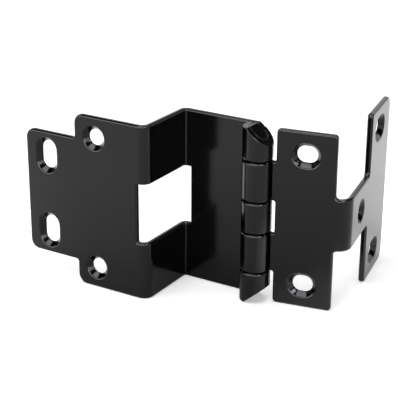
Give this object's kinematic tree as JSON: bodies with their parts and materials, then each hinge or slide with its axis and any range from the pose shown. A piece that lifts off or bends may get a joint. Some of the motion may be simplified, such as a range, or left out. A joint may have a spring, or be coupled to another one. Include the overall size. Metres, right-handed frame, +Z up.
{
  "type": "cabinet hinge",
  "caption": "Black wrap-around cabinet door hinge with a knuckled barrel, slanted pin tips, a Z-folded windowed frame leaf and a T-shaped folded door leaf.",
  "frame": {"origin": "middle of the frame leaf's two round screw holes, on its mounting face", "axes": "+X along the frame leaf toward the pin, +Y out of the mounting face, +Z up along the pin"},
  "size_m": [0.1242, 0.0874, 0.0698],
  "materials": {
    "leaf": "gloss black",
    "pin": "gloss black"
  },
  "bodies": {
    "frame": {"frame_leaf": "leaf", "hinge_pin": "pin"},
    "door": {"door_leaf": "leaf"}
  },
  "joints": [
    {"name": "pin_turn", "type": "hinge", "parent": "frame", "child": "door", "pos_m": [0.0572, 0.02155, 0], "axis": [0, 0, 1], "range_deg": [-190.4, 79.6]}
  ]
}
